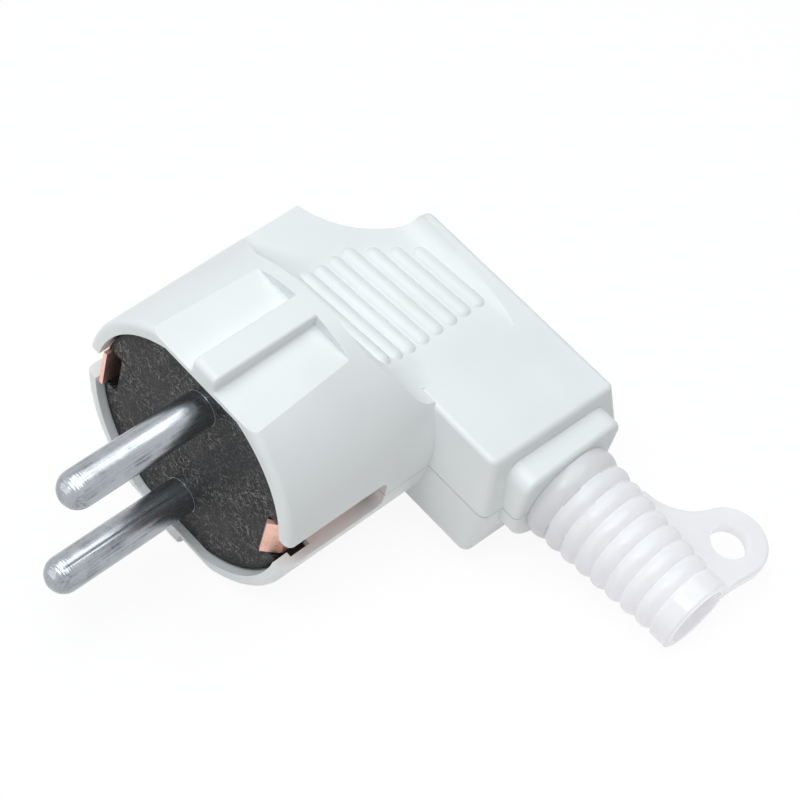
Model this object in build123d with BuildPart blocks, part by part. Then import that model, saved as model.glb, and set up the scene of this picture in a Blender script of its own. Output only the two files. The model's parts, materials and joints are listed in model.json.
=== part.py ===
# Angled mains plug: round head with two pins, a handle with thumb rests and a ribbed cord sleeve.
# It is modelled with the pins along -Y, the cord along +X and the parting plane of the housing level.
# Each finished piece is then rolled about the pin axis, into the pose in which the plug lies on a table.
from build123d import *
from math import acos, asin, atan2, cos, degrees, hypot, radians, sin, sqrt
import os

os.makedirs("parts", exist_ok=True)

# Contact pins
pin_diameter = 4.8
pin_pitch = 19.0
pin_length = 19.5

# Housing in general
wall = 2.0
fit_gap = 0.1
screw_gap = 0.05

# Head
head_radius = 18.25
head_edge = 0.9
head_draft = 0.2
guide_flat = head_radius - 1.9
guide_front = guide_flat - 0.65
guide_length = 15.4
guide_rib = 3.7
guide_edge = 0.35
guide_wall = 2.0
lip_radius = head_radius - 1.95
lip_depth = 2.2
groove_radius = lip_radius + 0.7
groove_depth = 3.0
flat_wall = 0.6
bore_flat = guide_front - flat_wall
chamber_flat = guide_flat - guide_wall

# Earth contact
strap_thickness = 0.6
strap_width = 6.2
strap_reach = lip_radius - 0.7
strap_bend = 1.2
strap_front = 0.2
notch_flat = lip_radius - 3.1
notch_width = strap_width + 4 * fit_gap
strap_lead = strap_reach - strap_thickness / sqrt(2) - notch_flat - fit_gap
slot_width = 5.0
slot_shift = 0.3
slot_length = guide_length + 0.2
slot_corner = 1.0

# Handle
handle_left = -17.6
handle_end = 27.85
handle_near = 22.8
handle_back = 45.9
handle_top = 9.4
side_draft = 0.7
end_draft = 1.75
back_draft = 2.5
lower_drafting = 0.5
handle_corner = 1.2
far_corner = 0.8
end_skew = 0.6
back_skew = 0.35
handle_edge = 0.7
notch_centre = (-18.8, 44.95)
notch_radius = 12.6
head_back = handle_near + side_draft + 0.3
shoulder_reach = sqrt(head_radius**2 - handle_top**2)
throat_width = 28.0

# Thumb rest
thumb_start = 13.3
thumb_slope = 5.7
thumb_front_y = 27.7
thumb_front_radius = 10.6
thumb_rear_y = 39.2
thumb_rear_radius = 3.0
thumb_height = 16.0
thumb_even = 9.5
thumb_swing = 16.0
thumb_side = 20.0
thumb_swing_y = 23.6
thumb_swing_radius = 2.2
grip_count = 8
grip_pitch = 2.35
grip_first_y = 22.2
grip_radius = 1.3
grip_height = 0.5
grip_right = 8.9
grip_left = -8.7
grip_step = 1.75
grip_stepped = 3

# Cord exit
sleeve_y = 34.35
gland_width = 16.4
gland_shift = -0.2
gland_height = 14.4
gland_corner = 2.0
gland_edge = 0.7
gland_front = 30.3
gland_root = 22.0
neck_radius = 6.2
flange_radius = 7.2
flange_thickness = 1.6
saddle_thickness = 1.7
saddle_radius = 5.0

# Cord sleeve
ridge_count = 9
ridge_pitch = 2.35
ridge_first = 32.1
ridge_root_radius = 6.6
ridge_tip_radius = 5.2
ridge_depth = 0.5
root_bore = 4.6
tip_bore = 4.0
tip_length = 3.0
tip_edge = 0.35
bore_step_x = 41.0
bore_taper = 2.5
slit_count = 6
slit_grooves = 2
slit_width = 0.25
slit_chord = 3.0
slit_angle = 6.0
eye_centre = (48.4, 44.75)
eye_radius = 4.95
eye_hole = 2.47
eye_thickness = 1.9
eye_edge = 0.4
web_start = 37.0
blend_radius = 7.1

# Pin carrier and terminals
carrier_face = 1.0
carrier_gap = 0.4
carrier_radius = lip_radius - carrier_gap
carrier_flat = bore_flat - carrier_gap / 2
carrier_flange = groove_radius - fit_gap
carrier_back = lip_depth + groove_depth - fit_gap
seat_radius = pin_diameter / 2 + screw_gap
barrel_radius = 3.5
barrel_length = 5.9
cup_radius = barrel_radius + 1.2
cup_length = 3.9
tower_width = 10.4
tower_back = 13.6
tower_height = pin_pitch - 2 * cup_radius + 0.8

# Screws, nut and washers
screw_radius = 1.5
screw_head_radius = 2.9
screw_head_height = 1.8
screw_slot = 0.8
washer_radius = 3.3
washer_thickness = 0.8
terminal_depth = 4.4
earth_depth = 5.6
nut_size = 7.0
nut_thickness = 2.8
nut_roof = 1.2

# Cord clamp
clamp_x = 18.0
clamp_width = 5.0
clamp_end = 2.4
clamp_under = 0.8
clamp_thickness = 2.8
clamp_arch_rise = 1.6
clamp_boss_radius = 2.6
clamp_spread = saddle_radius - 2 * fit_gap
clamp_arch_radius = clamp_spread - screw_radius - fit_gap
clamp_depth = 6.0

# Housing screws
boss_places = ((-11.8, 27.3), (9.5, 39.0))
bush_radius = 2.2
bush_length = 4.0
upper_boss_radius = bush_radius + 1.3
seat_depth = 4.4
counterbore_radius = screw_head_radius + 0.2
lower_boss_radius = counterbore_radius + 1.1


# The plane square to the pins at a distance behind the front rim
def across(distance):
    return Plane.XZ.offset(-distance)


# Height of the thumb rest's floor, or of its front curve, above its straight part
def thumb_rise(y):
    reach = max(thumb_front_y - y, 0)
    return thumb_front_radius - sqrt(thumb_front_radius**2 - reach**2)


thumb_lean = radians(thumb_slope)
thumb_plane = Plane(
    origin=(thumb_start, 0, handle_top),
    x_dir=(0, 1, 0),
    z_dir=(cos(thumb_lean), 0, sin(thumb_lean)),
)


# Distance along the sloping thumb rest at which a place across the handle is reached
def along_thumb(x):
    return (x - thumb_start) / cos(thumb_lean)


# The round head with its guide flats and the rib between them
def head_body():
    with BuildPart() as head:
        with BuildSketch(Plane.XY) as profile:
            with BuildLine():
                Polyline(
                    (0, 0),
                    (head_radius - head_draft, 0),
                    (head_radius, head_back),
                    (0, head_back),
                    close=True,
                )
            make_face()
            fillet(profile.vertices().sort_by_distance((head_radius, 0))[0], head_edge)
        revolve(axis=Axis.Y)
        for side in (-1, 1):
            with BuildSketch(Plane.YZ.offset(side * guide_rib / 2)):
                with BuildLine():
                    Polyline(
                        (0, guide_front),
                        (guide_length, guide_flat),
                        (guide_length, head_radius),
                        (0, head_radius),
                        close=True,
                    )
                make_face()
            extrude(amount=side * head_radius, mode=Mode.SUBTRACT)
        along = head.edges().filter_by(lambda edge: edge.length > guide_length / 2)
        rib_sides = along.filter_by(lambda edge: abs(abs(edge.center().X) - guide_rib / 2) < fit_gap)
        fillet(rib_sides, guide_edge)
        with BuildSketch(across(handle_near)):
            Circle(head_radius)
            with Locations(((thumb_start - shoulder_reach) / 2, 0)):
                Rectangle(shoulder_reach + thumb_start, 2 * head_radius, mode=Mode.INTERSECT)
        extrude(amount=handle_near - thumb_front_y)
        split(bisect_by=Plane.XY)
    return head.part


# One half of the drafted handle, or of its hollow when moved in by the wall
def handle_block(inset, drafting):
    top = handle_top - inset
    with BuildPart() as block:
        for level in (0, top):
            lean = drafting * level / handle_top
            left = handle_left + inset + lean * side_draft
            right = handle_end - inset - lean * end_draft
            near = handle_near + inset + lean * side_draft
            back = handle_back - inset - lean * back_draft
            with BuildSketch(Plane.XY.offset(level)) as outline:
                corners = ((left, near), (right, near), (right + end_skew, back), (left, back - back_skew))
                with BuildLine():
                    Polyline(corners, close=True)
                make_face()
                with Locations(notch_centre):
                    Circle(notch_radius + inset + lean * side_draft, mode=Mode.SUBTRACT)
                for place, corner in (
                    (corners[1], handle_corner),
                    (corners[2], far_corner),
                    ((notch_centre[0] + notch_radius, back), far_corner),
                ):
                    fillet(outline.vertices().sort_by_distance(place)[0], corner)
        loft()
        if inset == 0:
            fillet(block.faces().sort_by(Axis.Z)[-1].edges(), handle_edge)
    return block.part


# What the thumb rest takes away: a curve behind the head, which swings forward and tightens
# towards the sides, a sloping floor and a small rear curve
def thumb_cut(inset):
    rear = thumb_rear_radius + inset
    with BuildPart() as cut:
        for x, front_y, front_radius in (
            (-thumb_side, thumb_swing_y, thumb_swing_radius),
            (-thumb_swing, thumb_swing_y, thumb_swing_radius),
            (-thumb_even, thumb_front_y, thumb_front_radius),
            (thumb_even, thumb_front_y, thumb_front_radius),
            (thumb_swing, thumb_swing_y, thumb_swing_radius),
        ):
            front = front_radius + inset
            with BuildSketch(thumb_plane.offset(along_thumb(x))):
                with BuildLine():
                    Line((front_y, -inset), (thumb_rear_y, -inset))
                    CenterArc((thumb_rear_y, thumb_rear_radius), rear, 270, 90)
                    Polyline(
                        (thumb_rear_y + rear, thumb_rear_radius),
                        (thumb_rear_y + rear, thumb_height),
                        (front_y - front, thumb_height),
                        (front_y - front, front_radius),
                    )
                    CenterArc((front_y, front_radius), front, 180, 90)
                make_face()
        loft(ruled=True)
    return cut.part


# One rounded grip rib, lying along Z
def grip_rib(length):
    with BuildPart() as rib:
        with BuildSketch(Plane.XZ):
            SlotOverall(length, 2 * grip_radius, rotation=90)
            with Locations((-grip_radius, 0)):
                Rectangle(2 * grip_radius, length, mode=Mode.SUBTRACT)
        revolve(axis=Axis.Z)
    return rib.part


# Block at the handle's end that takes the sleeve: square in the upper half, round in the lower
def gland_block(is_round):
    with BuildPart() as gland:
        with BuildSketch(Plane.YZ.offset(gland_root)):
            with Locations((sleeve_y + gland_shift, 0)):
                if is_round:
                    Circle(gland_width / 2)
                else:
                    RectangleRounded(gland_width, gland_height, gland_corner)
        extrude(amount=gland_front - gland_root)
        fillet(gland.faces().sort_by(Axis.X)[-1].edges(), gland_edge)
        split(bisect_by=Plane.XY)
    return gland.part


# Hollow of one housing half: stepped mouth, wiring chamber, throat and handle
def housing_hollow(drafting):
    handle_hollow = handle_block(wall, drafting)
    thumb_back = thumb_cut(wall)
    throat_top = handle_top - wall
    with BuildPart() as hollow:
        for radius, flat, start, end in (
            (lip_radius, chamber_flat, 0, head_back),
            (lip_radius, bore_flat, 0, lip_depth + groove_depth),
            (groove_radius, bore_flat, lip_depth, lip_depth + groove_depth),
        ):
            with BuildSketch(across(start)):
                Circle(radius)
                Rectangle(2 * radius, 2 * flat, mode=Mode.INTERSECT)
            extrude(amount=start - end)
        add(handle_hollow)
        with BuildSketch(across(guide_length)):
            Rectangle(throat_width, 2 * throat_top)
        extrude(amount=guide_length - handle_near - 2 * wall)
        add(thumb_back, mode=Mode.SUBTRACT)
    return hollow.part


# Wall across the handle that holds the sleeve's flange from behind
def saddle_wall(drafting):
    filled = handle_block(wall / 2, drafting)
    with BuildPart() as saddle:
        add(filled)
        with Locations((gland_root - fit_gap + saddle_thickness / 2, sleeve_y, 0)):
            Box(saddle_thickness, handle_back, 2 * handle_top, mode=Mode.INTERSECT)
    return saddle.part


# One housing half without its bosses
def housing_half(drafting, is_round):
    head = head_body()
    handle = handle_block(0, drafting)
    thumb = thumb_cut(0)
    gland = gland_block(is_round)
    hollow = housing_hollow(drafting)
    saddle = saddle_wall(drafting)
    ribs = []
    for index in range(grip_count):
        y = grip_first_y + index * grip_pitch
        shortened = max(index - (grip_count - grip_stepped) + 1, 0) * grip_step
        start = along_thumb(grip_left + shortened)
        end = along_thumb(grip_right)
        sink = thumb_rise(y) + grip_height - grip_radius
        place = thumb_plane.location * Location((y, sink, (start + end) / 2))
        ribs.append((place, grip_rib(end - start)))
    flange_x = gland_root + saddle_thickness
    with BuildPart() as half:
        add(head)
        add(handle)
        add(thumb, mode=Mode.SUBTRACT)
        for place, rib in ribs:
            with Locations(place):
                add(rib)
        add(gland)
        add(hollow, mode=Mode.SUBTRACT)
        add(saddle)
        # Round seats for the cord, the sleeve's flange and its neck
        for radius, start, end in (
            (saddle_radius, gland_root - wall, gland_front),
            (flange_radius + fit_gap, flange_x, flange_x + flange_thickness + 2 * fit_gap),
            (neck_radius + fit_gap, flange_x, gland_front + wall),
        ):
            with BuildSketch(Plane.YZ.offset(start)):
                with Locations((sleeve_y, 0)):
                    Circle(radius)
            extrude(amount=end - start, mode=Mode.SUBTRACT)
    return half.part


# Slots at the sides of the head, through which the socket's clips reach the earth contact
def earth_slots():
    with BuildPart() as slots:
        for side in (-1, 1):
            with BuildSketch(Plane.YZ.offset(side * notch_flat)):
                with Locations((0, side * slot_shift)):
                    RectangleRounded(2 * slot_length, slot_width, slot_corner)
            extrude(amount=side * (head_radius - notch_flat + wall))
    return slots.part


# A slotted screw, its head above the origin and its shank below
def slotted_screw(length):
    with BuildPart() as screw:
        with BuildSketch(Plane.XZ) as profile:
            with BuildLine():
                Polyline(
                    (0, -length),
                    (screw_radius, -length),
                    (screw_radius, 0),
                    (screw_head_radius, 0),
                    (screw_head_radius, screw_head_height),
                    (0, screw_head_height),
                    close=True,
                )
            make_face()
            rim = profile.vertices().sort_by_distance((screw_head_radius, 0, screw_head_height))[0]
            fillet(rim, screw_slot)
        revolve(axis=Axis.Z)
        with BuildSketch(Plane.XY.offset(screw_head_height)):
            Rectangle(2 * screw_head_radius, screw_slot)
        extrude(amount=-screw_slot, mode=Mode.SUBTRACT)
    return screw.part


# A plain washer standing on the origin
def plain_washer():
    with BuildPart() as washer:
        with BuildSketch(Plane.XY):
            Circle(washer_radius)
            Circle(screw_radius + fit_gap, mode=Mode.SUBTRACT)
        extrude(amount=washer_thickness)
    return washer.part


# One turned contact pin with a rounded tip, a seat and a tapped barrel
def contact_pin():
    radius = pin_diameter / 2
    barrel_back = carrier_back + barrel_length
    with BuildPart() as pin:
        with BuildSketch(Plane.XY):
            with BuildLine():
                Polyline(
                    (0, -pin_length),
                    (0, barrel_back),
                    (barrel_radius, barrel_back),
                    (barrel_radius, carrier_back),
                    (seat_radius, carrier_back),
                    (seat_radius, carrier_face),
                    (radius, carrier_face),
                    (radius, radius - pin_length),
                )
                CenterArc((0, radius - pin_length), radius, 0, -90)
            make_face()
        revolve(axis=Axis.Y)
        with BuildSketch(across(barrel_back)):
            Circle(screw_radius + screw_gap)
        extrude(amount=terminal_depth + screw_gap, mode=Mode.SUBTRACT)
    return pin.part


# Crest radius of the sleeve's ridge by number
def crest_radius(index):
    return ridge_root_radius + (ridge_tip_radius - ridge_root_radius) * index / (ridge_count - 1)


# The roll at which the sleeve's end touches the table that the head lies on
tip_x = ridge_first + (ridge_count - 1.5) * ridge_pitch + tip_length
tip_touch = tip_x - tip_edge
roll = degrees(asin(head_radius / hypot(tip_touch, ridge_tip_radius)) - atan2(ridge_tip_radius, tip_touch))


# Lays a finished piece down, names it and writes it
def lay_down(piece, name):
    piece.part = piece.part.rotate(Axis.Y, roll)
    piece.part.label = name
    export_step(piece.part, "parts/" + name + ".step")


upper_form = housing_half(1, False)
lower_form = housing_half(lower_drafting, True)
slots_form = earth_slots()
pin_form = contact_pin()
washer_form = plain_washer()
terminal_screw_form = slotted_screw(washer_thickness + terminal_depth)
earth_screw_form = slotted_screw(washer_thickness + strap_thickness + earth_depth)
clamp_screw_form = slotted_screw(clamp_thickness + clamp_depth)
housing_screw_form = slotted_screw(seat_depth + bush_length)

# Upper shell: bosses with seats for the threaded bushes
with BuildPart() as upper_shell:
    add(upper_form)
    add(slots_form, mode=Mode.SUBTRACT)
    for x, y in boss_places:
        ceiling = handle_top - max(along_thumb(thumb_start) - along_thumb(x), 0) * sin(thumb_lean)
        with Locations((x, y, 0)):
            Cylinder(upper_boss_radius, ceiling - wall / 2, align=(Align.CENTER, Align.CENTER, Align.MIN))
            Cylinder(
                bush_radius,
                bush_length + fit_gap,
                align=(Align.CENTER, Align.CENTER, Align.MIN),
                mode=Mode.SUBTRACT,
            )
lay_down(upper_shell, "upper_shell")

# Lower shell: bosses with sunk screw heads, and two more for the cord clamp
with BuildPart() as lower_shell:
    add(lower_form)
    mirror(about=Plane.XY, mode=Mode.REPLACE)
    add(slots_form, mode=Mode.SUBTRACT)
    for x, y in boss_places:
        ceiling = handle_top - max(along_thumb(thumb_start) - along_thumb(x), 0) * sin(thumb_lean)
        with Locations((x, y, 0)):
            Cylinder(lower_boss_radius, ceiling - wall / 2, align=(Align.CENTER, Align.CENTER, Align.MAX))
            Cylinder(screw_radius + fit_gap, 2 * handle_top, mode=Mode.SUBTRACT)
        with Locations((x, y, -seat_depth)):
            Cylinder(
                counterbore_radius,
                handle_top,
                align=(Align.CENTER, Align.CENTER, Align.MAX),
                mode=Mode.SUBTRACT,
            )
    with Locations((clamp_x, sleeve_y, clamp_under)):
        with GridLocations(0, 2 * clamp_spread, 1, 2):
            Cylinder(
                clamp_boss_radius,
                clamp_under + handle_top - wall / 2,
                align=(Align.CENTER, Align.CENTER, Align.MAX),
            )
            Cylinder(
                screw_radius + screw_gap,
                clamp_depth + fit_gap,
                align=(Align.CENTER, Align.CENTER, Align.MAX),
                mode=Mode.SUBTRACT,
            )
lay_down(lower_shell, "lower_shell")

# Pin carrier: flanged disc with cups for the pins and a tower for the earth nut
with BuildPart() as pin_carrier:
    flange_front = lip_depth + fit_gap
    nut_front = tower_back - nut_roof - nut_thickness - fit_gap
    nut_slot = nut_size + 2 * fit_gap
    for radius, start, end in (
        (carrier_radius, carrier_face, carrier_back),
        (carrier_flange, flange_front, carrier_back),
    ):
        with BuildSketch(across(start)):
            Circle(radius)
            Rectangle(2 * radius, 2 * carrier_flat, mode=Mode.INTERSECT)
            notch_span = head_radius - notch_flat
            with GridLocations(2 * notch_flat + notch_span, 0, 2, 1):
                Rectangle(notch_span, notch_width, mode=Mode.SUBTRACT)
        extrude(amount=start - end)
    with BuildSketch(across(carrier_back)):
        with GridLocations(0, pin_pitch, 1, 2):
            Circle(cup_radius)
    extrude(amount=-cup_length)
    with BuildSketch(across(carrier_back)):
        Rectangle(tower_width, tower_height)
    extrude(amount=carrier_back - tower_back)
    with BuildSketch(across(carrier_back)):
        with GridLocations(0, pin_pitch, 1, 2):
            Circle(barrel_radius + fit_gap)
    extrude(amount=carrier_back - tower_back, mode=Mode.SUBTRACT)
    with BuildSketch(across(carrier_face)):
        with GridLocations(0, pin_pitch, 1, 2):
            Circle(seat_radius + screw_gap)
    extrude(amount=carrier_face - carrier_back, mode=Mode.SUBTRACT)
    with BuildSketch(across(nut_front)):
        with Locations((tower_width / 4, 0)):
            Rectangle(nut_slot + tower_width / 2, nut_slot)
    extrude(amount=-nut_thickness - fit_gap, mode=Mode.SUBTRACT)
    with BuildSketch(across(tower_back)):
        Circle(screw_radius + fit_gap)
    extrude(amount=earth_depth + fit_gap, mode=Mode.SUBTRACT)
lay_down(pin_carrier, "pin_carrier")

# Pins with their terminal screws and washers
terminal_face = carrier_back + barrel_length
pin_height = pin_pitch / 2
with BuildPart() as upper_pin:
    with Locations((0, 0, pin_height)):
        add(pin_form)
lay_down(upper_pin, "upper_pin")

with BuildPart() as lower_pin:
    with Locations((0, 0, -pin_height)):
        add(pin_form)
lay_down(lower_pin, "lower_pin")

with BuildPart() as upper_terminal_washer:
    with Locations(Plane((0, terminal_face, pin_height), z_dir=(0, 1, 0))):
        add(washer_form)
lay_down(upper_terminal_washer, "upper_terminal_washer")

with BuildPart() as lower_terminal_washer:
    with Locations(Plane((0, terminal_face, -pin_height), z_dir=(0, 1, 0))):
        add(washer_form)
lay_down(lower_terminal_washer, "lower_terminal_washer")

with BuildPart() as upper_terminal_screw:
    with Locations(Plane((0, terminal_face + washer_thickness, pin_height), z_dir=(0, 1, 0))):
        add(terminal_screw_form)
lay_down(upper_terminal_screw, "upper_terminal_screw")

with BuildPart() as lower_terminal_screw:
    with Locations(Plane((0, terminal_face + washer_thickness, -pin_height), z_dir=(0, 1, 0))):
        add(terminal_screw_form)
lay_down(lower_terminal_screw, "lower_terminal_screw")

# Earth strap: a bent strip with its two arms in the side slots
with BuildPart() as earth_strap:
    with BuildSketch(Plane.XY):
        with BuildLine():
            arm = strap_reach
            rear = tower_back + strap_thickness
            FilletPolyline(
                (-arm, strap_front),
                (-arm, rear),
                (arm, rear),
                (arm, strap_front + strap_lead),
                (arm - strap_lead, strap_front),
                radius=strap_bend,
            )
            offset(amount=strap_thickness, side=Side.RIGHT)
        make_face()
    extrude(amount=strap_width / 2, both=True)
    with BuildSketch(across(tower_back)):
        Circle(screw_radius + fit_gap)
    extrude(amount=-2 * strap_thickness, mode=Mode.SUBTRACT)
lay_down(earth_strap, "earth_strap")

# Earth terminal
earth_face = tower_back + strap_thickness
with BuildPart() as earth_washer:
    with Locations(Plane((0, earth_face, 0), z_dir=(0, 1, 0))):
        add(washer_form)
lay_down(earth_washer, "earth_washer")

with BuildPart() as earth_screw:
    with Locations(Plane((0, earth_face + washer_thickness, 0), z_dir=(0, 1, 0))):
        add(earth_screw_form)
lay_down(earth_screw, "earth_screw")

with BuildPart() as earth_nut:
    with BuildSketch(across(tower_back - nut_roof)):
        Rectangle(nut_size, nut_size)
        Circle(screw_radius + screw_gap, mode=Mode.SUBTRACT)
    extrude(amount=nut_thickness)
lay_down(earth_nut, "earth_nut")

# Cord clamp: a bar with an arch over the cord, on two bosses
with BuildPart() as cord_clamp:
    clamp_length = 2 * (clamp_spread + clamp_width / 2)
    with BuildSketch(Plane.XY.offset(clamp_under)):
        with Locations((clamp_x, sleeve_y)):
            RectangleRounded(clamp_width, clamp_length, clamp_end)
            with GridLocations(0, 2 * clamp_spread, 1, 2):
                Circle(screw_radius + fit_gap, mode=Mode.SUBTRACT)
    extrude(amount=clamp_thickness)
    with BuildSketch(Plane.YZ.offset(clamp_x)):
        with Locations((sleeve_y, clamp_under + clamp_arch_rise - clamp_arch_radius)):
            Circle(clamp_arch_radius)
    extrude(amount=clamp_width, both=True, mode=Mode.SUBTRACT)
lay_down(cord_clamp, "cord_clamp")

with BuildPart() as front_clamp_screw:
    with Locations((clamp_x, sleeve_y - clamp_spread, clamp_under + clamp_thickness)):
        add(clamp_screw_form)
lay_down(front_clamp_screw, "front_clamp_screw")

with BuildPart() as rear_clamp_screw:
    with Locations((clamp_x, sleeve_y + clamp_spread, clamp_under + clamp_thickness)):
        add(clamp_screw_form)
lay_down(rear_clamp_screw, "rear_clamp_screw")

# Housing screws from below, and the threaded bushes that they hold in
with BuildPart() as bush:
    with BuildSketch(Plane.XY):
        Circle(bush_radius)
        Circle(screw_radius + screw_gap, mode=Mode.SUBTRACT)
    extrude(amount=bush_length)

for place, name in zip(boss_places, ("front", "rear")):
    x, y = place
    with BuildPart() as housing_screw:
        with Locations(Plane((x, y, -seat_depth), z_dir=(0, 0, -1))):
            add(housing_screw_form)
    lay_down(housing_screw, name + "_housing_screw")
    with BuildPart() as threaded_bush:
        with Locations((x, y, 0)):
            add(bush.part)
    lay_down(threaded_bush, name + "_threaded_bush")

# Hanging eye of the sleeve: a ring that runs out along the sleeve in a curved web
tip_y = sleeve_y + ridge_tip_radius
eye_x, eye_y = eye_centre
blend_y = eye_y + sqrt((blend_radius + eye_radius) ** 2 - (eye_x - web_start) ** 2)
blend_turn = degrees(atan2(blend_y - eye_y, eye_x - web_start))
tip_reach = hypot(tip_y - eye_y, tip_x - eye_x)
tip_turn = degrees(atan2(tip_y - eye_y, tip_x - eye_x) + acos(eye_radius / tip_reach))
with BuildPart() as eye:
    with BuildSketch(Plane.XY):
        with BuildLine():
            web = CenterArc((web_start, blend_y), blend_radius, 270, 90 - blend_turn)
            ring = CenterArc(eye_centre, eye_radius, 180 - blend_turn, tip_turn + blend_turn - 180)
            Polyline(ring @ 1, (tip_x, tip_y), (tip_x, sleeve_y), (web_start, sleeve_y), web @ 0)
        make_face()
    extrude(amount=eye_thickness / 2, both=True)
    for face in (eye.faces().sort_by(Axis.Z)[0], eye.faces().sort_by(Axis.Z)[-1]):
        fillet(face.edges().filter_by(GeomType.CIRCLE), eye_edge)

# Cord sleeve: flange and neck in the housing, ridges outside, slits in the first grooves
with BuildPart() as cable_sleeve:
    flange_start = gland_root + saddle_thickness + fit_gap
    flange_end = flange_start + flange_thickness
    ring_start = gland_front + fit_gap
    last_valley = tip_x - tip_length
    sleeve_plane = Plane(origin=(0, sleeve_y, 0))
    with BuildSketch(sleeve_plane):
        with BuildLine():
            Polyline(
                (ring_start, crest_radius(0) - ridge_depth / 2),
                (ring_start, neck_radius),
                (flange_end, neck_radius),
                (flange_end, flange_radius),
                (flange_start, flange_radius),
                (flange_start, 0),
                (tip_x, 0),
            )
            FilletPolyline(
                (tip_x, 0),
                (tip_x, ridge_tip_radius),
                (last_valley + tip_edge, ridge_tip_radius),
                (last_valley, crest_radius(ridge_count - 1.5) - ridge_depth),
                radius=tip_edge,
            )
            valley = (ring_start, crest_radius(0) - ridge_depth / 2)
            for index in range(ridge_count - 1):
                crest_x = ridge_first + index * ridge_pitch
                after = (crest_x + ridge_pitch / 2, crest_radius(index + 0.5) - ridge_depth)
                ThreePointArc(valley, (crest_x, crest_radius(index)), after)
                valley = after
        make_face()
    revolve(axis=Axis((0, sleeve_y, 0), (1, 0, 0)))
    add(eye.part)
    with Locations((*eye_centre, 0)):
        Hole(eye_hole)
    with BuildSketch(sleeve_plane):
        with BuildLine():
            Polyline(
                (flange_start, 0),
                (flange_start, root_bore),
                (bore_step_x, root_bore),
                (bore_step_x + bore_taper, tip_bore),
                (tip_x, tip_bore),
                (tip_x, 0),
                close=True,
            )
        make_face()
    revolve(axis=Axis((0, sleeve_y, 0), (1, 0, 0)), mode=Mode.SUBTRACT)
    for index in range(slit_grooves):
        groove_x = ridge_first + (index + 0.5) * ridge_pitch
        with Locations(Plane.YZ.offset(groove_x)):
            with Locations((sleeve_y, 0)):
                with PolarLocations(root_bore, slit_count, slit_angle):
                    Box(neck_radius, slit_chord, slit_width, mode=Mode.SUBTRACT)
lay_down(cable_sleeve, "cable_sleeve")
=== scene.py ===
# Looks of the angled mains plug: finishes for its pieces, a pale table and soft studio light.
import json
from math import atan, atan2, hypot, pi, radians

import bpy
from mathutils import Matrix, Vector


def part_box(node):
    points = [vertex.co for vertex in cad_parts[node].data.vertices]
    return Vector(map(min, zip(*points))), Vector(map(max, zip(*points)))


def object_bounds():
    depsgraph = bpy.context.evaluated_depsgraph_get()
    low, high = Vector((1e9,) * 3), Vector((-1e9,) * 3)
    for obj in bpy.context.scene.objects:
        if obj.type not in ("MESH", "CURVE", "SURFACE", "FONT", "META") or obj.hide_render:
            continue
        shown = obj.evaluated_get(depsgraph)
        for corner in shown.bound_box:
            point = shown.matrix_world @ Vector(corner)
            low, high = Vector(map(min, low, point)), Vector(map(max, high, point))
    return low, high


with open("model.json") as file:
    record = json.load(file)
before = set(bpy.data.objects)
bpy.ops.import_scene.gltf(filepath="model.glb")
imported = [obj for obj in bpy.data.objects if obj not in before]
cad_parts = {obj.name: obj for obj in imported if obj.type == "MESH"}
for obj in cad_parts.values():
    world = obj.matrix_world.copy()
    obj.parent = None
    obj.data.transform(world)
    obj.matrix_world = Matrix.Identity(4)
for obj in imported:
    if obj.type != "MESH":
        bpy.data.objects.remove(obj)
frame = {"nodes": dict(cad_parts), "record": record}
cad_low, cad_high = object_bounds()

MM = 0.001

# The plug lies rolled about its pins; its hanging eye shows by how much
mounts = {mount["name"]: mount for mount in frame["record"]["mounts"]}
eye_axis = Vector(mounts["hanging_eye"]["axis"])
plug_roll = atan2(eye_axis.x, eye_axis.z)

# The black insert is a disc about the pins' middle, and its flange is wider than its face
carrier_low, carrier_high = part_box("pin_carrier")
flange_step = 1.0 * MM
face_radius = (carrier_high.x - carrier_low.x) / 2 - flange_step

# Painted shade: the face darkens towards its edge, for the shadow in the gap at its rim, from the first
# of these radii to the second
gap_shade_start = face_radius - 0.6 * MM
gap_shade_full = face_radius - 0.2 * MM

# Fibres in the black moulding: the ways they lie, how fine they are, how far they are swept aside
fibre_turns = (10, 52, 97, 141)
fibre_scale = (6200, 1500, 1150)
fibre_drift = 1.2 * MM

# Parting line of the housing with a painted highlight line under it, where the lower shell's edge would
# catch the light, and the sleeve's mould seam
seam_half_width = 0.085 * MM
seam_depth = 0.12 * MM
highlight_half_width = 0.14 * MM
highlight_offset = -0.2 * MM
sleeve_seam_half_width = 0.07 * MM
sleeve_seam_depth = 0.05 * MM

# The pins point along -Y; turned rings cover their tips and fade out behind them
pin_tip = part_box("upper_pin")[0].y
rings_full = pin_tip + 1.6 * MM
rings_end = pin_tip + 3.4 * MM
ring_pitch = 0.35 * MM
ring_depth = 0.05 * MM
wave_pitch_at_scale_1 = 0.314

# Scratches run along the pins: how fine they are each way, how deep, and how much roughness they add
scratch_scale = (3500, 110, 3500)
scratch_depth = 0.006 * MM
scratch_roughness = 0.16

# Stains show through the scratches: how fine they are, and how strong at most
stain_scale = 420.0
most_stained = 0.8

# Depth of the moulded grain
housing_grain_depth = 0.004 * MM
carrier_grain_depth = 0.02 * MM
clamp_grain_depth = 0.01 * MM

# Stretches of a noise's values over which an effect comes in
most_values = (0.3, 0.7)
patch_values = (0.35, 0.65)
cloud_values = (0.35, 0.7)
tarnish_values = (0.38, 0.68)
wear_values = (0.42, 0.66)
fleck_values = (0.62, 0.78)
crowd_values = (0.35, 0.62)
none_to_full = (0.0, 1.0)
full_to_none = (1.0, 0.0)
some_to_full = (0.3, 1.0)
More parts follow.
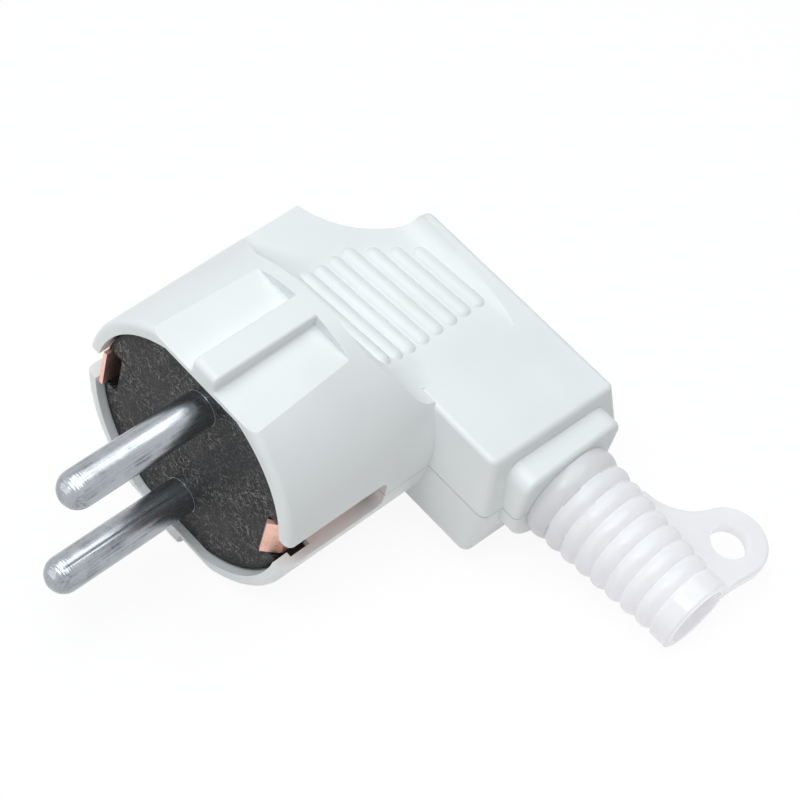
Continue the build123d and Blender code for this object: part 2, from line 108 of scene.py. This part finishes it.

# Colours of the finishes, as they look in plain light, and among them a painted highlight and a painted
# shade
housing_white = (0.85, 0.875, 0.885, 1)
# Painted highlight for the line just under the parting line
painted_highlight_white = (0.98, 0.985, 0.99, 1)
seam_grey = (0.30, 0.31, 0.33, 1)
phenolic_black = (0.010, 0.010, 0.011, 1)
# Painted shade for the gap at the rim of the insert's face
painted_gap_shade_black = (0.003, 0.003, 0.003, 1)
phenolic_fleck = (0.30, 0.29, 0.285, 1)
pin_grey = (0.41, 0.435, 0.465, 1)
pin_dark = (0.05, 0.055, 0.065, 1)
copper_pink = (0.96, 0.62, 0.52, 1)
copper_brown = (0.50, 0.22, 0.15, 1)
zinc_grey = (0.55, 0.56, 0.58, 1)
zinc_dark = (0.34, 0.35, 0.37, 1)
brass_yellow = (0.78, 0.58, 0.26, 1)
brass_dark = (0.48, 0.33, 0.13, 1)
clamp_grey = (0.36, 0.37, 0.39, 1)
sleeve_milk = (0.967, 0.963, 0.977, 1)

# Share of its colour that a moulding keeps in its darker patches
housing_patch = 0.965
clamp_patch = 0.85
sleeve_patch = 0.97

# Roughness between the smooth and the rough places of a moulding
housing_roughness = (0.36, 0.46)
carrier_roughness = (0.42, 0.58)
clamp_roughness = (0.45, 0.6)
sleeve_roughness = (0.12, 0.18)

# Part of the sleeve's look that is light passing through its wall
sleeve_clearness = 0.55

# Table: its side, the colour of its bounced light, the grey that takes the shadow, the glow over that
table_side = 6
table_white = (0.95, 0.905, 0.89, 1)
shadow_grey = (0.10, 0.10, 0.10, 1)
table_glow = 0.91
plain_white = (1, 1, 1, 1)

# Studio light: its colour, and how much of a white surface's brightness the sky gives
daylight = (0.95, 0.995, 1.0)
sky_share = 0.14

# Lamps: the way from the plug, the share of a white surface's brightness, and the side of the square
lamp_distance = 0.55
lamps = {
    "key": ((0.05, -0.08, 1.0), 0.70, 0.75),
    "fill": ((-0.5, -1.0, 0.15), 0.2, 0.6),
    "window": ((0.08, -0.45, 0.88), 0.1, 0.16),
}

# Camera at the photograph's viewing angle
camera_place = Vector((156.1, -121.6, 207.63)) * MM
camera_aim = Vector((20.4, 15.0, 13.93)) * MM
camera_tilt = radians(1.17)
camera_lens = 109.85
camera_sensor = 36
camera_nearest = 0.01


# Plain values on a node's own sockets
def set_values(made, values):
    for name, value in values.items():
        made.inputs[name].default_value = value


# A node tree's node with its settings and input values
def node(tree, kind, values=None, **settings):
    made = tree.nodes.new(kind)
    for name, value in settings.items():
        setattr(made, name, value)
    set_values(made, values or {})
    return made


# A place turned, stretched or moved
def mapped(tree, place, values):
    made = node(tree, "ShaderNodeMapping", values)
    tree.links.new(place, made.inputs["Vector"])
    return made.outputs["Vector"]


# Object coordinates turned back upright, so that X runs along the cord and Z across the parting plane
def upright(tree):
    coordinates = node(tree, "ShaderNodeTexCoord")
    return mapped(tree, coordinates.outputs["Object"], {"Rotation": (0, -plug_roll, 0)})


# A noise texture at a place
def noise(tree, place, values):
    made = node(tree, "ShaderNodeTexNoise", values)
    tree.links.new(place, made.inputs["Vector"])
    return made


# The three coordinates of a place
def coordinates_of(tree, place):
    made = node(tree, "ShaderNodeSeparateXYZ")
    tree.links.new(place, made.inputs["Vector"])
    return made.outputs


# Two values joined by an operation
def joined(tree, operation, first, second):
    made = node(tree, "ShaderNodeMath", operation=operation)
    tree.links.new(first, made.inputs[0])
    tree.links.new(second, made.inputs[1])
    return made.outputs["Value"]


# A value spread from one range over another
def spread(tree, value, given, wanted):
    limits = {"From Min": given[0], "From Max": given[1], "To Min": wanted[0], "To Max": wanted[1]}
    made = node(tree, "ShaderNodeMapRange", limits)
    tree.links.new(value, made.inputs["Value"])
    return made.outputs["Result"]


# Two colours mixed by a mask; each may be a colour or a socket
def blend(tree, mask, first, second):
    made = node(tree, "ShaderNodeMix", data_type="RGBA")
    tree.links.new(mask, made.inputs["Factor"])
    for name, colour in (("A", first), ("B", second)):
        socket = next(s for s in made.inputs if s.name == name and s.type == "RGBA")
        if isinstance(colour, tuple):
            socket.default_value = colour
        else:
            tree.links.new(colour, socket)
    return next(s for s in made.outputs if s.type == "RGBA")


# A colour with a share of its brightness left
def darkened(colour, share):
    return tuple(channel * share for channel in colour[:3]) + (1,)


# A mask of the rays that show a surface: the camera's own, and those by way of a shiny or clear piece
def seen_rays(tree):
    path = node(tree, "ShaderNodeLightPath")
    seen = joined(tree, "MAXIMUM", path.outputs["Is Camera Ray"], path.outputs["Is Glossy Ray"])
    return joined(tree, "MAXIMUM", seen, path.outputs["Is Transmission Ray"])


# A new shader node group with its named sockets
def effect_group(name, inputs, outputs):
    tree = bpy.data.node_groups.new(name, "ShaderNodeTree")
    for label, value in inputs.items():
        socket = tree.interface.new_socket(label, in_out="INPUT", socket_type="NodeSocketFloat")
        socket.default_value = value
    for label in outputs:
        tree.interface.new_socket(label, in_out="OUTPUT", socket_type="NodeSocketFloat")
    return tree, tree.nodes.new("NodeGroupInput"), tree.nodes.new("NodeGroupOutput")


# Fine grain and slow unevenness of a moulded surface
def moulded_grain_group():
    tree, given, out = effect_group(
        "moulded_grain", {"Grain": 4000.0, "Waves": 120.0}, ("Height", "Unevenness")
    )
    place = upright(tree)
    grain = noise(tree, place, {"Detail": 3.0, "Roughness": 0.6})
    tree.links.new(given.outputs["Grain"], grain.inputs["Scale"])
    tree.links.new(grain.outputs["Fac"], out.inputs["Height"])
    waves = noise(tree, place, {"Detail": 2.0, "Roughness": 0.5})
    tree.links.new(given.outputs["Waves"], waves.inputs["Scale"])
    tree.links.new(waves.outputs["Fac"], out.inputs["Unevenness"])
    return tree


# The line where two shells or mould halves meet, or a line beside it
def parting_seam_group():
    tree, given, out = effect_group("parting_seam", {"Half Width": 0.06 * MM, "Offset": 0.0}, ("Mask",))
    height = coordinates_of(tree, upright(tree))["Z"]
    shifted = joined(tree, "SUBTRACT", height, given.outputs["Offset"])
    away = node(tree, "ShaderNodeMath", operation="ABSOLUTE")
    tree.links.new(shifted, away.inputs[0])
    mask = node(tree, "ShaderNodeMapRange", {"From Min": 0.0, "To Min": 1.0, "To Max": 0.0})
    tree.links.new(away.outputs["Value"], mask.inputs["Value"])
    tree.links.new(given.outputs["Half Width"], mask.inputs["From Max"])
    tree.links.new(mask.outputs["Result"], out.inputs["Mask"])
    return tree


# Scratches drawn along the pins, and slow stains of tarnish
def drawn_scratches_group():
    tree, given, out = effect_group(
        "drawn_scratches", {"Fineness": 1.0, "Stains": 300.0}, ("Scratches", "Tarnish")
    )
    place = upright(tree)
    lengthwise = mapped(tree, place, {"Scale": scratch_scale})
    drawn = noise(tree, lengthwise, {"Detail": 4.0, "Roughness": 0.7, "Distortion": 0.2})
    tree.links.new(given.outputs["Fineness"], drawn.inputs["Scale"])
    tree.links.new(drawn.outputs["Fac"], out.inputs["Scratches"])
    stains = noise(tree, place, {"Detail": 5.0, "Roughness": 0.65})
    tree.links.new(given.outputs["Stains"], stains.inputs["Scale"])
    tree.links.new(stains.outputs["Fac"], out.inputs["Tarnish"])
    return tree


moulded_grain = moulded_grain_group()
parting_seam = parting_seam_group()
drawn_scratches = drawn_scratches_group()


# One of the shared effects, placed in a material with its own values
def effect(tree, group, values):
    return node(tree, "ShaderNodeGroup", values, node_tree=group).outputs


# An empty material with its shader in place
def finish_material(name):
    material = bpy.data.materials.new(name)
    material.use_nodes = True
    tree = material.node_tree
    return material, tree, tree.nodes["Principled BSDF"]


# Relief from a height, joined to the shader's normal
def relief(tree, shader, height, distance, strength, under=None):
    bump = node(tree, "ShaderNodeBump", {"Distance": distance, "Strength": strength})
    tree.links.new(height, bump.inputs["Height"])
    if under:
        tree.links.new(under, bump.inputs["Normal"])
    tree.links.new(bump.outputs["Normal"], shader.inputs["Normal"])
    return bump.outputs["Normal"]


# White satin moulding with the parting line of the two shells and a painted highlight line under it
def housing_finish():
    material, tree, shader = finish_material("housing_satin_white")
    grain = effect(tree, moulded_grain, {"Grain": 5200.0, "Waves": 90.0})
    seam = effect(tree, parting_seam, {"Half Width": seam_half_width})
    painted_highlight = effect(tree, parting_seam, {"Half Width": highlight_half_width, "Offset": highlight_offset})
    patches = spread(tree, grain["Unevenness"], patch_values, none_to_full)
    plain = blend(tree, patches, housing_white, darkened(housing_white, housing_patch))
    # Painted highlight: a white line under the parting line, where the lower shell's edge would catch
    # the light
    with_painted_edge = blend(tree, painted_highlight["Mask"], plain, painted_highlight_white)
    tree.links.new(blend(tree, seam["Mask"], with_painted_edge, seam_grey), shader.inputs["Base Color"])
    gloss = spread(tree, grain["Height"], most_values, housing_roughness)
    tree.links.new(gloss, shader.inputs["Roughness"])
    fine = relief(tree, shader, grain["Height"], housing_grain_depth, strength=0.5)
    sunk = spread(tree, seam["Mask"], none_to_full, full_to_none)
    relief(tree, shader, sunk, seam_depth, strength=0.8, under=fine)
    soft_light = {
        "Subsurface Weight": 0.12,
        "Subsurface Radius": (1.0, 1.0, 1.05),
        "Subsurface Scale": 0.8 * MM,
    }
    set_values(shader, soft_light)
    return material


# Pale fibres lying several ways in the moulding, swept round by its flow and more crowded in places
def fibre_flecks(tree, place):
    drift = noise(tree, place, {"Scale": 420.0, "Detail": 1.0})
    bent = node(tree, "ShaderNodeVectorMath", operation="MULTIPLY_ADD")
    tree.links.new(drift.outputs["Color"], bent.inputs[0])
    bent.inputs[1].default_value = (fibre_drift, fibre_drift, fibre_drift)
    tree.links.new(place, bent.inputs[2])
    flecks = None
    for turn in fibre_turns:
        turned = mapped(tree, bent.outputs["Vector"], {"Rotation": (0, radians(turn), 0)})
        stretched = mapped(tree, turned, {"Location": (turn, turn, turn), "Scale": fibre_scale})
        fibres = noise(tree, stretched, {"Scale": 1.0, "Detail": 1.0, "Roughness": 0.5})
        mask = spread(tree, fibres.outputs["Fac"], fleck_values, none_to_full)
        flecks = joined(tree, "MAXIMUM", flecks, mask) if flecks else mask
    crowd = noise(tree, place, {"Scale": 190.0, "Detail": 1.0})
    kept = spread(tree, crowd.outputs["Fac"], crowd_values, some_to_full)
    return joined(tree, "MULTIPLY", flecks, kept)


# A band of painted shade towards the edge of the insert's round face, for the shadow in the gap at its
# rim
def gap_shade_band(tree, place):
    flat = node(tree, "ShaderNodeVectorMath", operation="MULTIPLY")
    tree.links.new(place, flat.inputs[0])
    flat.inputs[1].default_value = (1, 0, 1)
    distance = node(tree, "ShaderNodeVectorMath", operation="LENGTH")
    tree.links.new(flat.outputs["Vector"], distance.inputs[0])
    return spread(tree, distance.outputs["Value"], (gap_shade_start, gap_shade_full), none_to_full)


# Black fibre-filled moulding, with painted shade at the edge of its face
def carrier_finish():
    material, tree, shader = finish_material("carrier_phenolic")
    place = upright(tree)
    plain = blend(tree, fibre_flecks(tree, place), phenolic_black, phenolic_fleck)
    # Painted shade: the face's rim darkened as if in the shadow of the gap
    with_painted_edge = blend(tree, gap_shade_band(tree, place), plain, painted_gap_shade_black)
    tree.links.new(with_painted_edge, shader.inputs["Base Color"])
    grain = effect(tree, moulded_grain, {"Grain": 3600.0, "Waves": 160.0})
    gloss = spread(tree, grain["Unevenness"], most_values, carrier_roughness)
    tree.links.new(gloss, shader.inputs["Roughness"])
    relief(tree, shader, grain["Height"], carrier_grain_depth, strength=0.6)
    set_values(shader, {"Specular IOR Level": 0.22})
    return material


# Rings left by turning, at the tips of the pins only
def tip_rings(tree):
    place = upright(tree)
    ring_values = {"Scale": wave_pitch_at_scale_1 / ring_pitch, "Distortion": 1.5, "Detail": 1.0}
    rings = node(tree, "ShaderNodeTexWave", ring_values, bands_direction="Y")
    tree.links.new(place, rings.inputs["Vector"])
    at_tip = spread(tree, coordinates_of(tree, place)["Y"], (rings_full, rings_end), full_to_none)
    return joined(tree, "MULTIPLY", rings.outputs["Fac"], at_tip)


# Metal, scratched lengthwise and stained
def metal_finish(name, clean, stained, roughness, fineness, turned_tips=False):
    material, tree, shader = finish_material(name)
    marks = effect(tree, drawn_scratches, {"Fineness": fineness, "Stains": stain_scale})
    tarnish = spread(tree, marks["Tarnish"], tarnish_values, none_to_full)
    worn = spread(tree, marks["Scratches"], wear_values, (0.0, most_stained))
    dark = joined(tree, "MULTIPLY", tarnish, worn)
    tree.links.new(blend(tree, dark, clean, stained), shader.inputs["Base Color"])
    dulled = (roughness, roughness + scratch_roughness)
    gloss = spread(tree, marks["Scratches"], most_values, dulled)
    tree.links.new(gloss, shader.inputs["Roughness"])
    set_values(shader, {"Metallic": 1.0})
    fine = relief(tree, shader, marks["Scratches"], scratch_depth, strength=0.7)
    if turned_tips:
        relief(tree, shader, tip_rings(tree), ring_depth, strength=0.45, under=fine)
    return material


# Plain grey moulding of the hidden cord clamp
def clamp_finish():
    material, tree, shader = finish_material("clamp_grey_moulding")
    grain = effect(tree, moulded_grain, {"Grain": 4200.0, "Waves": 200.0})
    patches = spread(tree, grain["Unevenness"], patch_values, none_to_full)
    plain = blend(tree, patches, clamp_grey, darkened(clamp_grey, clamp_patch))
    tree.links.new(plain, shader.inputs["Base Color"])
    gloss = spread(tree, grain["Height"], most_values, clamp_roughness)
    tree.links.new(gloss, shader.inputs["Roughness"])
    relief(tree, shader, grain["Height"], clamp_grain_depth, strength=0.5)
    return material


# Milky sleeve with a fine mould seam, whose thin walls let light through
def sleeve_finish():
    material, tree, shader = finish_material("sleeve_milky")
    grain = effect(tree, moulded_grain, {"Grain": 1500.0, "Waves": 260.0})
    seam = effect(tree, parting_seam, {"Half Width": sleeve_seam_half_width})
    clouds = spread(tree, grain["Unevenness"], cloud_values, none_to_full)
    plain = blend(tree, clouds, sleeve_milk, darkened(sleeve_milk, sleeve_patch))
    tree.links.new(plain, shader.inputs["Base Color"])
    gloss = spread(tree, grain["Height"], most_values, sleeve_roughness)
    tree.links.new(gloss, shader.inputs["Roughness"])
    relief(tree, shader, seam["Mask"], sleeve_seam_depth, strength=0.5)
    set_values(shader, {"Specular IOR Level": 0.8, "Coat Weight": 0.6, "Coat Roughness": 0.25})
    through = node(tree, "ShaderNodeBsdfTranslucent", {"Color": sleeve_milk})
    mixed = node(tree, "ShaderNodeMixShader", {"Fac": sleeve_clearness})
    tree.links.new(shader.outputs["BSDF"], mixed.inputs[1])
    tree.links.new(through.outputs["BSDF"], mixed.inputs[2])
    tree.links.new(mixed.outputs["Shader"], tree.nodes["Material Output"].inputs["Surface"])
    return material


# The finish of every piece, by its slot in the record
finishes = {
    "housing": housing_finish(),
    "carrier": carrier_finish(),
    "pin": metal_finish(
        "pin_plated_drawn", pin_grey, pin_dark, roughness=0.15, fineness=1.0, turned_tips=True
    ),
    "copper": metal_finish("earth_copper", copper_pink, copper_brown, roughness=0.36, fineness=1.4),
    "screw": metal_finish("screw_zinc", zinc_grey, zinc_dark, roughness=0.3, fineness=1.8),
    "bush": metal_finish("bush_brass", brass_yellow, brass_dark, roughness=0.3, fineness=1.8),
    "clamp": clamp_finish(),
    "sleeve": sleeve_finish(),
}
for subpart in frame["record"]["subparts"]:
    shown = frame["nodes"][subpart["node"]]
    shown.data.materials.clear()
    shown.data.materials.append(finishes[subpart["material_slot"]])


# Pale table: a matt surface as light bounces off it, and white with a soft shadow where it is seen
def table_finish():
    material = bpy.data.materials.new("table_pale")
    material.use_nodes = True
    tree = material.node_tree
    tree.nodes.clear()
    matt = node(tree, "ShaderNodeBsdfDiffuse", {"Color": table_white})
    faint = node(tree, "ShaderNodeBsdfDiffuse", {"Color": shadow_grey})
    glow = node(tree, "ShaderNodeEmission", {"Color": plain_white, "Strength": table_glow})
    lifted = node(tree, "ShaderNodeAddShader")
    tree.links.new(faint.outputs["BSDF"], lifted.inputs[0])
    tree.links.new(glow.outputs["Emission"], lifted.inputs[1])
    choice = node(tree, "ShaderNodeMixShader")
    tree.links.new(seen_rays(tree), choice.inputs["Fac"])
    tree.links.new(matt.outputs["BSDF"], choice.inputs[1])
    tree.links.new(lifted.outputs["Shader"], choice.inputs[2])
    out = node(tree, "ShaderNodeOutputMaterial")
    tree.links.new(choice.outputs["Shader"], out.inputs["Surface"])
    return material


# The table under the plug
bpy.ops.object.select_all(action="DESELECT")
bpy.ops.mesh.primitive_plane_add(size=table_side, location=(0, 0, cad_low.z))
table = bpy.context.object
table.name = "table"
table.data.materials.append(table_finish())

# Sky: plain white where it is seen, a softer daylight as it lights the plug
world = bpy.data.worlds.new("studio")
bpy.context.scene.world = world
world.use_nodes = True
sky = world.node_tree
backdrop = sky.nodes["Background"]
seen = seen_rays(sky)
sky.links.new(spread(sky, seen, none_to_full, (sky_share, 1.0)), backdrop.inputs["Strength"])
sky.links.new(blend(sky, seen, daylight + (1,), plain_white), backdrop.inputs["Color"])


# A square soft lamp aimed at the plug; its energy follows from how much of the plug's view it fills
def soft_lamp(name, direction, share, side):
    lamp = bpy.data.lights.new(name, "AREA")
    lamp.shape = "SQUARE"
    lamp.size = side
    lamp.color = daylight
    reach = side / 2 / hypot(side / 2, lamp_distance)
    lamp.energy = share * (pi * side) ** 2 / (4 * reach * atan(reach))
    holder = bpy.data.objects.new(name, lamp)
    bpy.context.scene.collection.objects.link(holder)
    way = Vector(direction).normalized()
    holder.location = (cad_low + cad_high) / 2 + way * lamp_distance
    holder.rotation_euler = way.to_track_quat("Z", "Y").to_euler()


for name, (direction, share, side) in lamps.items():
    soft_lamp(name, direction, share, side)

# Camera
camera = bpy.data.cameras.new("photo_view")
camera.lens = camera_lens
camera.sensor_width = camera_sensor
camera.clip_start = camera_nearest
holder = bpy.data.objects.new("photo_view", camera)
bpy.context.scene.collection.objects.link(holder)
look = (camera_aim - camera_place).to_track_quat("-Z", "Y").to_matrix().to_4x4()
holder.matrix_world = Matrix.Translation(camera_place) @ look @ Matrix.Rotation(camera_tilt, 4, "Z")
bpy.context.scene.camera = holder
bpy.context.scene.view_settings.view_transform = "Standard"
